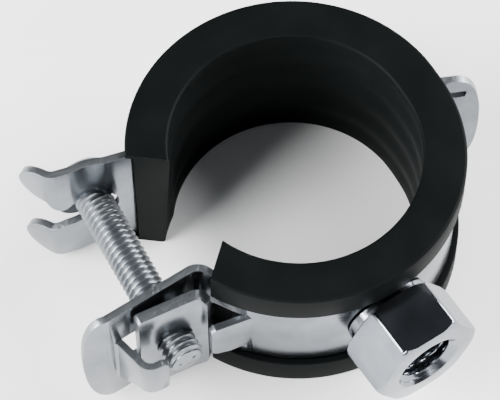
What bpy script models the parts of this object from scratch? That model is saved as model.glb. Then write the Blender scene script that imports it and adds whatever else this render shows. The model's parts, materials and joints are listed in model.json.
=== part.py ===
"""Rubber-lined pipe clamp with one closing screw, lying on its side.

Plan coordinates: the pipe's axis is Z, the connection nut points along -Y, the screw flanges
stick out along -X and the hinge is at +X. Lengths are in millimetres until the meshes are made.
The clamp is drawn a little open, as it hangs before the pipe goes in.
"""
from math import acos, asin, atan2, cos, degrees, pi, radians, sin, sqrt, tan

import bmesh
import bpy
from mathutils import Matrix, Vector
from mathutils.geometry import delaunay_2d_cdt

MM = 0.001

# Ring
SHEET = 1.2                 # steel strip thickness
HALF_WIDTH = 12.3           # half the strip's width
RING_R = 23.9               # strip's middle line
GAP = 0.3                   # air between pieces that touch
BORE_R = 18.8               # inside of the rubber
LINER_R = 25.5              # outside of the rubber's lips
LINER_HALF = 13.4           # half the rubber's width
LIP_FROM = 8.0              # the lips cover the strip beyond this height

# Hinge
HINGE = (26.3, -1.4)
REST_OPEN = 4.0             # degrees that the rear half stands open
HINGE_TONGUE_HALF = 7.8
HINGE_SLOT_HALF = 8.9
HINGE_EAR_DIRECTION = -26.0
HINGE_EAR_OFFSET = 8.2      # from the rear half's centre to the ear's middle plane
HINGE_EAR_BEND = 1.5
HINGE_EAR_START = 25.7      # along the ear, from the foot of that offset
HINGE_EAR_CORNER = 26.4
HINGE_EAR_END = 30.7
HINGE_SLIT_END = 28.2

# Front flange, with the two hooks that hold the nut plate
FLANGE_OFFSET = 7.1
FLANGE_BEND = 2.5
FLANGE_FOLD_X = -39.2
EAR_LENGTH = 4.05
EAR_TILT = 17.0
FOLD_BEND = 2.0
WINDOW_HALF = 4.3
WINDOW_ANGLES = (-158.0, -140.5)
SLOT_X = (-38.4, -25.4)
TONGUE_THICKNESS = 1.1

# Rear flange, a fork that the screw's head bears on
FORK_DIRECTION = 164.4
FORK_OFFSET = 6.53
FORK_ROOT_BEND = 1.2
FORK_BEND_AT = 36.5
FORK_TIP_BEND = 2.0
TINE_TURN = 47.0
TINE_LENGTH = 5.3
FORK_SLOT_HALF = 3.4
SEAT_AT = 29.55
SEAT_DEPTH = 0.4            # shallow trough pressed across the fork, which the screw bears on
SEAT_WIDTH = 6.4
NOSE_AT = 35.0
NOSE_DROP = 1.9

# Screw, washer and nut plate
SCREW_R = 3.0               # M6
SCREW_DIRECTION = 84.3
SCREW_THROUGH = (-29.45, -10.0)
SCREW_END = -4.4            # along the screw from the nut plate's middle
WASHER_UNDERSIDE = 28.6
WASHER_R = 5.5
WASHER_THICKNESS = 1.0
RUNNING_FIT = 0.1
HEAD_R = 4.9
HEAD_HEIGHT = 2.8
PLATE_PIVOT = (-35.0, -8.3)
PLATE_TILT = -8.0
PLATE_THICKNESS = 1.7
PLATE_LENGTH = 11.9
PLATE_HALF = 11.0

# Connection nut
NUT_FLATS = 16.0
NUT_FACE_Y = -34.9
NUT_BACK_Y = -26.5
COLLAR_R = 6.9
OUTER_THREAD_R = 4.7
OUTER_THREAD_DEPTH = 6.0
INNER_THREAD_R = 3.6

STEEL = ("zinc_plated_steel", (0.60, 0.62, 0.64), 0.28, 1.0)
SCREW_STEEL = ("zinc_plated_screw_steel", (0.50, 0.52, 0.54), 0.32, 1.0)
RUBBER = ("black_rubber", (0.012, 0.013, 0.013), 0.62, 0.0)


def clear_scene():
    for obj in list(bpy.data.objects):
        bpy.data.objects.remove(obj)


def unit(angle):
    return Vector((cos(radians(angle)), sin(radians(angle))))


def around(centre, radius, angle):
    return Vector(centre) + unit(angle) * radius


def rear_centre():
    """Centre of the rear half, turned open about the hinge."""
    hinge = Vector(HINGE)
    return hinge + Matrix.Rotation(radians(-REST_OPEN), 2) @ -hinge


def material(finish):
    name, colour, roughness, metallic = finish
    if name in bpy.data.materials:
        return bpy.data.materials[name]
    mat = bpy.data.materials.new(name)
    mat.use_nodes = True
    shader = mat.node_tree.nodes["Principled BSDF"]
    shader.inputs["Base Color"].default_value = (*colour, 1.0)
    shader.inputs["Roughness"].default_value = roughness
    shader.inputs["Metallic"].default_value = metallic
    return mat


def solid(name, verts, faces, finish, origin=(0, 0, 0)):
    """A mesh object from millimetre points, with its origin where its joint needs it."""
    mesh = bpy.data.meshes.new(name)
    mesh.from_pydata([(Vector(v) - Vector(origin)) * MM for v in verts], [], faces)
    bm = bmesh.new()
    bm.from_mesh(mesh)
    bmesh.ops.recalc_face_normals(bm, faces=bm.faces)
    bm.to_mesh(mesh)
    bm.free()
    mesh.shade_smooth()
    mesh.set_sharp_from_angle(angle=radians(35))
    obj = bpy.data.objects.new(name, mesh)
    obj.location = Vector(origin) * MM
    bpy.context.scene.collection.objects.link(obj)
    if finish:
        obj.data.materials.append(material(finish))
    else:
        obj.hide_render = True
        obj.display_type = "WIRE"
    return obj


def cut(obj, tool, operation="DIFFERENCE"):
    boolean = obj.modifiers.new(tool.name, "BOOLEAN")
    boolean.operation = operation
    boolean.object = tool
    boolean.solver = "EXACT"


class Path:
    """The strip's middle line in plan: straight runs and bends, walked from one end."""

    def __init__(self, start, heading):
        self.runs = []
        self.length = 0.0
        self.point = Vector(start)
        self.heading = heading

    def line(self, length):
        self.runs.append((self.length, length, self.point.copy(), self.heading, 0.0))
        self.point = self.point + unit(self.heading) * length
        self.length += length

    def bend(self, radius, angle):
        """Turn left by a positive angle, right by a negative one."""
        length = radius * radians(abs(angle))
        turn = angle / length
        self.runs.append((self.length, length, self.point.copy(), self.heading, turn))
        side = unit(self.heading + (90 if angle > 0 else -90))
        centre = self.point + side * radius
        self.heading += angle
        self.point = centre - unit(self.heading + (90 if angle > 0 else -90)) * radius
        self.length += length

    def at(self, s):
        """Point and left-hand normal at distance s."""
        for begin, length, point, heading, turn in self.runs:
            if s <= begin + length + 1e-6:
                break
        along = s - begin
        if turn == 0.0:
            return point + unit(heading) * along, unit(heading + 90)
        radius = degrees(1 / abs(turn))
        sign = 1 if turn > 0 else -1
        centre = point + unit(heading + 90 * sign) * radius
        now = heading + turn * along
        return centre - unit(now + 90 * sign) * radius, unit(now + 90)

    def stations(self):
        """Distances at which the blank is folded, close enough for smooth bends."""
        marks = []
        for begin, length, _, _, turn in self.runs:
            steps = max(1, round(abs(turn) * length / (5.0 if length > 20 else 12.0)))
            marks += [begin + length * i / steps for i in range(1, steps + 1)]
        return [m for m in marks if 0.02 < m < self.length - 0.02]


def is_inside(point, loop):
    """Does a line from the point towards +X cross the loop an odd number of times?"""
    crossings = 0
    for (x0, y0), (x1, y1) in zip(loop, loop[1:] + loop[:1]):
        if (y0 > point.y) != (y1 > point.y):
            crossings += x0 + (point.y - y0) * (x1 - x0) / (y1 - y0) > point.x
    return crossings % 2 == 1


def in_blank(corners, outline, holes):
    middle = sum(corners, Vector((0, 0))) / 3
    return is_inside(middle, outline) and not any(is_inside(middle, hole) for hole in holes)


def push_at(pressed, s):
    """How far the sheet is pushed at s, straight from one given distance to the next."""
    marks = sorted(pressed.items())
    for (s0, push0), (s1, push1) in zip(marks, marks[1:]):
        if s0 <= s <= s1:
            return push0 + (push1 - push0) * (s - s0) / (s1 - s0)
    return 0.0


def bent_sheet(name, path, outline, holes, finish, thickness=SHEET, origin=(0, 0, 0), pressed={}):
    """Cut a flat blank (distance along the path, height), then fold it along the path.

    pressed gives how far the sheet is pushed to the left at some distances along the path.
    """
    points, edges = [], []
    for loop in [outline] + holes:
        first = len(points)
        points += [Vector(p) for p in loop]
        edges += [(first + i, first + (i + 1) % len(loop)) for i in range(len(loop))]
    reach = max(abs(p[1]) for p in outline) + 1
    for mark in path.stations() + list(pressed):
        edges.append((len(points), len(points) + 1))
        points += [Vector((mark, -reach)), Vector((mark, reach))]
    every_triangle = 0
    flat, _, triangles, *_ = delaunay_2d_cdt(points, edges, [], every_triangle, 1e-5)
    triangles = [t for t in triangles if in_blank([flat[i] for i in t], outline, holes)]
    verts = []
    for side in (-0.5, 0.5):
        for s, z in flat:
            point, normal = path.at(s)
            place = point + normal * (side * thickness + push_at(pressed, s))
            verts.append((place.x, place.y, z))
    count = len(flat)
    used = {}
    for tri in triangles:
        for a, b in zip(tri, tri[1:] + tri[:1]):
            used.setdefault(frozenset((a, b)), []).append((a, b))
    faces = [list(t) for t in triangles]
    faces += [[i + count for i in reversed(t)] for t in triangles]
    rim = [e[0] for e in used.values() if len(e) == 1]
    faces += [[b, a, a + count, b + count] for a, b in rim]
    return solid(name, verts, faces, finish, origin)


def half_oval(s_corner, s_end, half, steps=14):
    """Rounded end of a strip, from its upper corner round to its lower one."""
    turn = [pi / 2 - pi * i / steps for i in range(steps + 1)]
    return [(s_corner + (s_end - s_corner) * cos(t), half * sin(t)) for t in turn]


def round_slot(s0, s1, half, steps=6):
    """Slot along the strip with rounded corners."""
    r = half * 0.45
    loop = []
    corners = ((s1 - r, half - r, 0), (s0 + r, half - r, 90))
    corners += ((s0 + r, r - half, 180), (s1 - r, r - half, 270))
    for s, z, start in corners:
        turn = [radians(start + 90 * i / steps) for i in range(steps + 1)]
        loop += [(s + r * cos(t), z + r * sin(t)) for t in turn]
    return loop


def prism(name, outline, z0, z1, finish, origin=(0, 0, 0)):
    count = len(outline)
    verts = [(x, y, z) for z in (z0, z1) for x, y in outline]
    faces = [list(range(count))[::-1], list(range(count, 2 * count))]
    faces += [[i, (i + 1) % count, count + (i + 1) % count, count + i] for i in range(count)]
    return solid(name, verts, faces, finish, origin)


def turned(name, base, direction, profile, finish, origin=(0, 0, 0), capped=False, segments=40):
    """Solid of revolution about a line in plan; the profile is (distance along, radius).

    A capped one is solid in the middle, another one is a ring with a closed section.
    """
    axis = Vector((*unit(direction), 0))
    side = Vector((-axis.y, axis.x, 0))
    up = Vector((0, 0, 1))
    verts, rings = [], []
    for along, radius in profile:
        centre = Vector((*base, 0)) + axis * along
        rings.append(range(len(verts), len(verts) + segments))
        for i in range(segments):
            t = 2 * pi * i / segments
            verts.append(centre + (side * cos(t) + up * sin(t)) * radius)
    pairs = list(zip(rings, rings[1:]))
    faces = []
    if capped:
        faces += [list(rings[0]), list(rings[-1])]
    else:
        pairs.append((rings[-1], rings[0]))
    for a, b in pairs:
        faces += [[a[i - 1], a[i], b[i], b[i - 1]] for i in range(segments)]
    return solid(name, verts, faces, finish, origin)


def ring_block(name, centre, radii, angles, heights):
    """Sector of a ring, used as a cutter."""
    steps = 12
    turn = [angles[0] + (angles[1] - angles[0]) * i / steps for i in range(steps + 1)]
    outline = [around(centre, radii[1], a) for a in turn]
    outline += [around(centre, radii[0], a) for a in reversed(turn)]
    return prism(name, outline, heights[0], heights[1], None)


def front_path():
    """From the rounded ear's end, along the flange, round the ring to the hinge tongue."""
    fold = FOLD_BEND * tan(radians(EAR_TILT / 2))
    start = Vector((FLANGE_FOLD_X, -FLANGE_OFFSET)) - unit(-EAR_TILT) * EAR_LENGTH
    path = Path(start, -EAR_TILT)
    path.line(EAR_LENGTH - fold)
    path.bend(FOLD_BEND, EAR_TILT)
    reach = RING_R + FLANGE_BEND
    root_x = -sqrt(reach ** 2 - (FLANGE_OFFSET + FLANGE_BEND) ** 2)
    path.line(root_x - path.point.x)
    turn = degrees(acos((FLANGE_OFFSET + FLANGE_BEND) / reach))
    path.bend(FLANGE_BEND, -turn)
    path.ring_from = degrees(atan2(path.point.y, path.point.x))
    path.ring_begin = path.length
    path.bend(RING_R, -11.0 - path.ring_from)
    path.ring_end = path.length
    path.bend(5.0, -20.0)
    path.line(2.2)
    path.bend(1.2, -58.0)
    path.line(1.9)
    return path


def front_band():
    path = front_path()
    flange_start = path.runs[2][0] - (path.runs[2][2].x - FLANGE_FOLD_X)
    to_flange = lambda x: flange_start + x - FLANGE_FOLD_X
    to_ring = lambda a: path.ring_begin + RING_R * radians(a - path.ring_from)
    neck = path.ring_end - 0.6
    tongue = HINGE_TONGUE_HALF
    outline = [(path.length, tongue), (neck, tongue), (neck, HALF_WIDTH)]
    outline += half_oval(EAR_LENGTH, 0.0, HALF_WIDTH)
    outline += [(neck, -HALF_WIDTH), (neck, -tongue), (path.length, -tongue)]
    window = round_slot(to_ring(WINDOW_ANGLES[0]), to_ring(WINDOW_ANGLES[1]), WINDOW_HALF)
    slot = round_slot(to_flange(SLOT_X[0]), to_flange(SLOT_X[1]), WINDOW_HALF)
    band = bent_sheet("front_band", path, outline, [window, slot], STEEL)
    cut(band, outer_hook(), "UNION")
    cut(band, inner_hook(), "UNION")
    return band


def outer_hook():
    """Tongue bent out of the flange that holds the nut plate's outer end."""
    path = Path((-39.6, -FLANGE_OFFSET), 0.0)
    path.line(1.0)
    path.bend(1.2, -80.4)
    leg = path.length
    path.line(4.5)
    elbow = path.length
    path.bend(1.8, 72.4)
    path.line(1.9)
    outline = [(0.0, 4.1), (0.0, -7.4), (leg, -7.4), (elbow, -3.9)]
    outline += [(path.length, -3.9), (path.length, 3.9), (elbow, 4.0)]
    return bent_sheet("outer_hook_tongue", path, outline, [], None, TONGUE_THICKNESS)


def inner_hook():
    """Tongue lanced out of the ring that holds the nut plate's inner end."""
    path = Path(around((0, 0), RING_R, -138.5), 131.5)
    path.bend(RING_R, -1.5)
    path.bend(1.2, 37.4)
    path.line(6.3)
    root = path.runs[2][0]
    outline = [(0.0, 4.0), (0.0, -4.0), (root, -4.0), (root + 3.4, -4.4)]
    outline += [(path.length, -3.8), (path.length, 3.9), (root, 4.0)]
    return bent_sheet("inner_hook_tongue", path, outline, [], None, TONGUE_THICKNESS)


def rear_path():
    """From the fork's tips, along the fork, round the ring to the hinge ear."""
    centre = rear_centre()
    along, away = unit(FORK_DIRECTION), unit(FORK_DIRECTION - 90)
    corner = centre + along * FORK_BEND_AT + away * FORK_OFFSET
    tip_heading = FORK_DIRECTION - TINE_TURN - 180
    setback = FORK_TIP_BEND * tan(radians(TINE_TURN / 2))
    path = Path(corner - unit(tip_heading) * TINE_LENGTH, tip_heading)
    path.line(TINE_LENGTH - setback)
    path.bend(FORK_TIP_BEND, TINE_TURN)
    reach = RING_R + FORK_ROOT_BEND
    root_at = sqrt(reach ** 2 - (FORK_OFFSET + FORK_ROOT_BEND) ** 2)
    path.fork_begin = path.length
    path.fork_from = FORK_BEND_AT - setback
    path.line(path.fork_from - root_at)
    turn = degrees(acos((FORK_OFFSET + FORK_ROOT_BEND) / reach))
    path.bend(FORK_ROOT_BEND, turn)
    offset = path.point - centre
    ring_from = degrees(atan2(offset.y, offset.x))
    path.ring_begin, path.ring_from = path.length, ring_from
    reach = RING_R + HINGE_EAR_BEND
    lift = degrees(asin((HINGE_EAR_OFFSET + HINGE_EAR_BEND) / reach))
    ring_to = HINGE_EAR_DIRECTION + lift
    path.bend(RING_R, ring_to - ring_from)
    path.bend(HINGE_EAR_BEND, HINGE_EAR_DIRECTION - (ring_to - 90))
    path.ear_begin = path.length
    path.ear_from = sqrt(reach ** 2 - (HINGE_EAR_OFFSET + HINGE_EAR_BEND) ** 2)
    path.line(HINGE_EAR_END - path.ear_from)
    return path


def fork_slot(to_fork):
    """Open slot between the tines: round seat, snap nose on the upper side, flared mouth."""
    half = FORK_SLOT_HALF
    seat = [radians(a) for a in range(90, -91, -15)]
    loop = [(to_fork(SEAT_AT) + half * cos(t), half * sin(t)) for t in seat]
    mouth_bottom = [(to_fork(33.6), -half), (to_fork(36.3), -half - 0.5)]
    mouth_top = [(to_fork(NOSE_AT + 2.2), half + 0.9), (to_fork(NOSE_AT + 1.3), half - 0.9)]
    mouth_top += [(to_fork(NOSE_AT + 0.3), half - NOSE_DROP)]
    mouth_top += [(to_fork(NOSE_AT - 1.0), half - 1.2), (to_fork(NOSE_AT - 1.9), half - 0.2)]
    return loop + mouth_bottom, mouth_top


def tine_tip(z_mid, half, s_corner, steps=10):
    """Rounded end of one tine, from its upper side to its lower one."""
    turn = [pi / 2 - pi * i / steps for i in range(steps + 1)]
    return [(s_corner * (1 - cos(t)), z_mid + half * sin(t)) for t in turn]


def rear_band():
    path = rear_path()
    to_fork = lambda d: path.fork_begin + path.fork_from - d
    to_ring = lambda a: path.ring_begin + RING_R * radians(path.ring_from - a)
    to_ear = lambda d: path.ear_begin + d - path.ear_from
    seat_and_bottom, mouth_top = fork_slot(to_fork)
    tine_mid = (HALF_WIDTH + FORK_SLOT_HALF + 0.9) / 2
    tine_half = HALF_WIDTH - tine_mid
    bend_at = TINE_LENGTH - 0.6
    upper = tine_tip(tine_mid, tine_half, bend_at)
    lower = tine_tip(-tine_mid, tine_half, bend_at)
    outline = upper + mouth_top + seat_and_bottom + lower
    end = half_oval(to_ear(HINGE_EAR_CORNER), to_ear(HINGE_EAR_END), HALF_WIDTH)
    outline += list(reversed(end))
    ear_start = to_ear(HINGE_EAR_START)
    slit_end = to_ear(HINGE_SLIT_END)
    open_from = to_ring(2.0)
    high, low = HINGE_SLOT_HALF, HINGE_SLOT_HALF - 0.8
    window = [(open_from, high), (slit_end, high), (slit_end, low), (ear_start, low)]
    window += [(s, -z) for s, z in reversed(window)]
    seat = {}
    for i in range(9):
        across = i / 8 - 0.5
        depth = SEAT_DEPTH * (0.5 + 0.5 * cos(2 * pi * across))
        seat[to_fork(SEAT_AT + 0.3 + SEAT_WIDTH * across)] = depth
    return bent_sheet("rear_band", path, outline, [window], STEEL, origin=(*HINGE, 0),
                      pressed=seat)


def liner_profile():
    """Section of the rubber: a thick wall whose rims fold over both edges of the strip."""
    wall = RING_R - SHEET / 2 - GAP
    lip_in = RING_R + SHEET / 2 + GAP
    edge = HALF_WIDTH + GAP
    half = [(BORE_R, LINER_HALF), (LINER_R, LINER_HALF), (LINER_R, LIP_FROM)]
    half += [(lip_in, LIP_FROM), (lip_in, edge), (wall, edge)]
    return half + [(r, -z) for r, z in reversed(half)]


def liner(name, centre, start, end, origin):
    """Sweep the section; start and end give the angle at the bore and at the outside."""
    profile = liner_profile()
    steps = round(abs(end[0] - start[0]) / 5)
    slope = lambda ends, r: ends[0] + (ends[1] - ends[0]) * (r - BORE_R) / (LINER_R - BORE_R)
    verts = []
    for i in range(steps + 1):
        for r, z in profile:
            angle = slope(start, r) + (slope(end, r) - slope(start, r)) * i / steps
            point = around(centre, r, angle)
            verts.append((point.x, point.y, z))
    count = len(profile)
    faces = [list(range(count)), [steps * count + i for i in reversed(range(count))]]
    for i in range(steps):
        for j in range(count):
            a, b = i * count + j, i * count + (j + 1) % count
            faces.append([a, b, b + count, a + count])
    return solid(name, verts, faces, RUBBER, origin)


def front_insert():
    insert = liner("front_insert", (0, 0), (-161.0, -155.0), (-6.0, -6.0), (0, 0, 0))
    clear = (RING_R - SHEET / 2 - GAP + 0.06, LINER_R + 3)
    cut(insert, ring_block("front_hinge_clearance", (0, 0), clear, (-15.0, 0.0), (-12.45, 12.45)))
    cut(insert, ring_block("front_flange_clearance", (0, 0), clear, (-164.0, -153.5),
                           (-12.45, 12.45)))
    return insert


def rear_insert():
    centre = rear_centre()
    insert = liner("rear_insert", centre, (155.7, 151.4), (-4.0, -4.0), (*HINGE, 0))
    clear = (RING_R - SHEET / 2 - GAP + 0.06, LINER_R + 3)
    cut(insert, ring_block("rear_hinge_clearance", centre, clear, (-10.0, 6.0), (-12.45, 12.45)))
    cut(insert, ring_block("rear_fork_clearance", centre, clear, (142.0, 160.0), (-12.45, 12.45)))
    return insert


def nut_plate():
    """Threaded plate behind the front flange; its inner end is rolled round."""
    length, half = PLATE_LENGTH, PLATE_THICKNESS / 2
    round_end = [radians(a) for a in range(-90, 91, 18)]
    local = [(0.0, -half), (length - half, -half)]
    local += [(length - half + half * cos(t), half * sin(t)) for t in round_end[1:-1]]
    local += [(length - half, half), (0.0, half)]
    along, across = unit(PLATE_TILT), unit(PLATE_TILT + 90)
    base = Vector(PLATE_PIVOT) - across * half
    outline = [base + along * a + across * b for a, b in local]
    plate = prism("nut_plate", outline, -PLATE_HALF, PLATE_HALF, STEEL, (*PLATE_PIVOT, 0))
    bore = [(-5.0, SCREW_R + RUNNING_FIT), (5.0, SCREW_R + RUNNING_FIT)]
    cut(plate, turned("nut_plate_thread", SCREW_THROUGH, SCREW_DIRECTION, bore, None, capped=True))
    return plate


def closure_screw():
    """Pan-head machine screw; its chamfered end is staked so that it can't be lost."""
    seat = WASHER_UNDERSIDE + WASHER_THICKNESS + GAP
    profile = [(SCREW_END, SCREW_R - 0.6), (SCREW_END + 0.6, SCREW_R), (seat, SCREW_R)]
    profile += [(seat, HEAD_R), (seat + HEAD_HEIGHT * 0.4, HEAD_R)]
    for t in (20, 40, 60, 80):
        rise = HEAD_HEIGHT * (0.4 + 0.6 * sin(radians(t)))
        profile.append((seat + rise, HEAD_R * cos(radians(t * 0.9))))
    origin = (*SCREW_THROUGH, 0)
    return turned("closure_screw", SCREW_THROUGH, SCREW_DIRECTION, profile, SCREW_STEEL,
                  origin, capped=True)


def screw_washer():
    low, high = WASHER_UNDERSIDE, WASHER_UNDERSIDE + WASHER_THICKNESS
    hole = SCREW_R + RUNNING_FIT
    profile = [(low, hole), (low, WASHER_R), (high, WASHER_R), (high, hole)]
    origin = (*SCREW_THROUGH, 0)
    return turned("screw_washer", SCREW_THROUGH, SCREW_DIRECTION, profile, SCREW_STEEL, origin)


def connection_nut():
    """Hexagon nut on the front half with a stepped hole for two rod sizes."""
    corner = NUT_FLATS / sqrt(3)
    hexagon = [(corner * cos(radians(60 * i)), corner * sin(radians(60 * i))) for i in range(6)]
    verts = [(x, y, z) for y in (NUT_FACE_Y, NUT_BACK_Y) for x, z in hexagon]
    faces = [list(range(6)), [11, 10, 9, 8, 7, 6]]
    faces += [[i, i + 6, (i + 1) % 6 + 6, (i + 1) % 6] for i in range(6)]
    nut = solid("connection_nut", verts, faces, STEEL)
    chamfer = [(-1.0, corner - 1.9), (-1.0, corner + 4), (1.6, corner + 4), (1.6, corner + 0.2)]
    chamfer += [(0.0, corner - 0.75)]
    cut(nut, turned("nut_front_chamfer", (0, NUT_FACE_Y), 90, chamfer, None))
    collar = [(0.0, COLLAR_R), (5.0, COLLAR_R)]
    base = (0, NUT_BACK_Y - 1.0)
    cut(nut, turned("nut_collar", base, 90, collar, None, capped=True), "UNION")
    seat = [around((0, 0), RING_R + SHEET / 2 + GAP, a) for a in range(0, 360, 5)]
    cut(nut, prism("nut_seat", seat, -LINER_HALF, LINER_HALF, None))
    bore = [(-1.0, OUTER_THREAD_R + 0.65), (0.0, OUTER_THREAD_R + 0.65), (0.65, OUTER_THREAD_R)]
    bore += [(OUTER_THREAD_DEPTH, OUTER_THREAD_R), (OUTER_THREAD_DEPTH + 0.8, INNER_THREAD_R)]
    bore += [(12.0, INNER_THREAD_R)]
    cut(nut, turned("nut_stepped_hole", (0, NUT_FACE_Y), 90, bore, None, capped=True))
    return nut


def body(name, at, parent):
    """An empty on a joint's axis that carries the pieces of one moving body."""
    empty = bpy.data.objects.new(name, None)
    bpy.context.scene.collection.objects.link(empty)
    empty.parent = parent
    empty.location = (Vector((*at, 0)) - Vector((*parent.get("at", (0, 0)), 0))) * MM
    empty["at"] = at
    return empty


def attach(piece, parent):
    """Parent a piece to its body without moving it, with every tool that cuts it."""
    for obj in [piece] + [m.object for m in piece.modifiers]:
        obj.parent = parent
        obj.location -= Vector((*parent.get("at", (0, 0)), 0)) * MM


def bottom_centre(objects):
    bpy.context.view_layer.update()
    graph = bpy.context.evaluated_depsgraph_get()
    points = []
    for obj in objects:
        done = obj.evaluated_get(graph)
        points += [done.matrix_world @ v.co for v in done.data.vertices]
    low = [min(p[i] for p in points) for i in range(3)]
    high = [max(p[i] for p in points) for i in range(3)]
    return Vector(((low[0] + high[0]) / 2, (low[1] + high[1]) / 2, low[2]))


def build():
    clear_scene()
    clamp = bpy.data.objects.new("clamp", None)
    bpy.context.scene.collection.objects.link(clamp)
    front = body("front_half", (0.0, 0.0), clamp)
    rear = body("rear_half", HINGE, clamp)
    plate = body("nut_plate_pivot", PLATE_PIVOT, clamp)
    feed = body("screw_axis", SCREW_THROUGH, plate)
    members = [(front_band(), front), (front_insert(), front), (connection_nut(), front)]
    members += [(rear_band(), rear), (rear_insert(), rear), (nut_plate(), plate)]
    members += [(screw_washer(), feed), (closure_screw(), feed)]
    for piece, holder in members:
        attach(piece, holder)
    clamp.location = -bottom_centre([piece for piece, _ in members])
    bpy.context.view_layer.update()
    for empty in (front, rear, plate, feed):
        print(empty.name, [round(c, 6) for c in empty.matrix_world.translation])


build()
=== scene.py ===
# %% [markdown]
# # A rubber-lined pipe clamp
# The clamp is two pressed steel half rings that hinge on the right and are drawn together on the
# left by one screw. A black rubber liner sits inside them, and a hexagon nut on the front half
# takes the rod that hangs the clamp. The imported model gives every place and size. This lesson
# makes the surfaces: folded sheet with soft edges, real threads, extruded rubber and zinc plate.

# %% Load the fixed frame
import json
from math import acos, asin, atan2, cos, degrees, pi, radians, sin, sqrt, tan

import bmesh
import bpy
from mathutils import Matrix, Vector
from mathutils.geometry import delaunay_2d_cdt


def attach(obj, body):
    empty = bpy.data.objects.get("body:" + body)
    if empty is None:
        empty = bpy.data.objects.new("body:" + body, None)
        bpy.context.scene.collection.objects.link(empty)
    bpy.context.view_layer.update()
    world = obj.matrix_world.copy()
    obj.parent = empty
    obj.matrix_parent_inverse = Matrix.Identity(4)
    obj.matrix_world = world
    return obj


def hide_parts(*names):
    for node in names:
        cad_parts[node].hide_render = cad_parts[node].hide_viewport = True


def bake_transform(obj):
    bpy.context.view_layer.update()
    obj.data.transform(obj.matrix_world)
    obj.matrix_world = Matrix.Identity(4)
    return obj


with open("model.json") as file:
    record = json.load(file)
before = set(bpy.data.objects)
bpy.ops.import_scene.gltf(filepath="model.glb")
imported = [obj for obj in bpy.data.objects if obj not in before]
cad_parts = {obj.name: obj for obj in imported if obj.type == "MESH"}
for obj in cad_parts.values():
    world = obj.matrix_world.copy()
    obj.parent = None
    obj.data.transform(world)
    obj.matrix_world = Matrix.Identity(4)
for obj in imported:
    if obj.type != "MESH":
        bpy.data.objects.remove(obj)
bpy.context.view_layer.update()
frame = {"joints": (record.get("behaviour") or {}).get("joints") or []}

MM = 0.001

# %% [markdown]
# ## Places
# Plan coordinates are millimetres from the middle of the front half ring, as a drawing of the
# clamp would give them. The hinge and the screw are joints of the frame, so the drawing is laid
# on the frame by the hinge.

# %% Where the drawing lies in the frame
HINGE = Vector((26.3, -1.4))
joints = {joint["name"]: joint for joint in frame["joints"]}
hinge_at = Vector(joints["clamp_hinge"]["pos_m"])
ORIGIN = hinge_at - Vector((*HINGE, 0)) * MM
SCREW_THROUGH = (Vector(joints["screw_turn"]["pos_m"]) - ORIGIN) / MM
SCREW_AXIS = -Vector(joints["screw_turn"]["axis"])
PLATE_PIVOT = ((Vector(joints["nut_plate_swing"]["pos_m"]) - ORIGIN) / MM).to_2d()


def unit(angle):
    return Vector((cos(radians(angle)), sin(radians(angle))))


def around(centre, radius, angle):
    return Vector(centre) + unit(angle) * radius


REST_OPEN = 4.0
REAR = HINGE + Matrix.Rotation(radians(-REST_OPEN), 2) @ -HINGE
print("drawing origin", [round(c, 5) for c in ORIGIN], "rear half's centre", REAR)

# %% [markdown]
# ## Camera
# The clamp lies on its side, as it would on a bench, and is seen from above and from the left. A
# long lens from half a metre away keeps the rings nearly free of perspective, so that the bore
# looks round. The camera is placed by two angles and a distance from the point that it aims at.

# %% Camera
AIM = ORIGIN + Vector((-6.73, 3.23, 0)) * MM
AZIMUTH, ELEVATION, ROLL = -33.475, 61.3, -0.385
DISTANCE = 429.9 * MM
LENS_MM, SENSOR_MM = 200.0, 36.0
back = Vector((sin(radians(AZIMUTH)) * cos(radians(ELEVATION)),
               -cos(radians(AZIMUTH)) * cos(radians(ELEVATION)), sin(radians(ELEVATION))))
camera_data = bpy.data.cameras.new("camera")
camera_data.lens = LENS_MM
camera_data.sensor_width = SENSOR_MM
camera = bpy.data.objects.new("camera", camera_data)
camera.location = AIM + back * DISTANCE
turn = back.to_track_quat("Z", "Y").to_matrix().to_4x4()
camera.rotation_euler = (turn @ Matrix.Rotation(radians(ROLL), 4, "Z")).to_euler()
bpy.context.scene.collection.objects.link(camera)
bpy.context.scene.camera = camera
print("camera", [round(c, 4) for c in camera.location])


# %% [markdown]
# ## How the finishes are built
# Every finish is a small tree of nodes: patterns with a real size in millimetres feed one
# Principled shader. Colours are given in hex, as a paint chart gives them, and turned to linear
# light. Patterns read Object coordinates, so they stay on a piece when it moves.

# %% Colours and nodes
def linear(hex_colour):
    """sRGB hex to linear RGBA."""
    channels = [int(hex_colour[i:i + 2], 16) / 255 for i in (1, 3, 5)]
    return (*[c / 12.92 if c <= 0.04045 else ((c + 0.055) / 1.055) ** 2.4
              for c in channels], 1.0)


def add(tree, kind, inputs=None, **settings):
    """One node with its settings. An input takes a value, or the socket that feeds it."""
    node = tree.nodes.new(kind)
    for name, value in settings.items():
        setattr(node, name, value)
    for name, value in (inputs or {}).items():
        if isinstance(value, bpy.types.NodeSocket):
            tree.links.new(value, node.inputs[name])
        else:
            node.inputs[name].default_value = value
    return node


def blank_material(name):
    mat = bpy.data.materials.new(name)
    mat.use_nodes = True
    tree = mat.node_tree
    tree.nodes.clear()
    shader = add(tree, "ShaderNodeBsdfPrincipled")
    add(tree, "ShaderNodeOutputMaterial", {"Surface": shader.outputs[0]})
    place = add(tree, "ShaderNodeTexCoord").outputs["Object"]
    return mat, tree, shader, place


def per_mm(size):
    """Scale of a noise whose patches are about this many millimetres across."""
    return 1 / (size * MM)


def set_ramp(node, low, high):
    """Give a colour ramp two stops, each a position and a hex colour."""
    for stop, (position, colour) in zip(node.color_ramp.elements, (low, high)):
        stop.position = position
        stop.color = linear(colour)


print("mid grey in linear light", [round(c, 3) for c in linear("#808080")])

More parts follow.
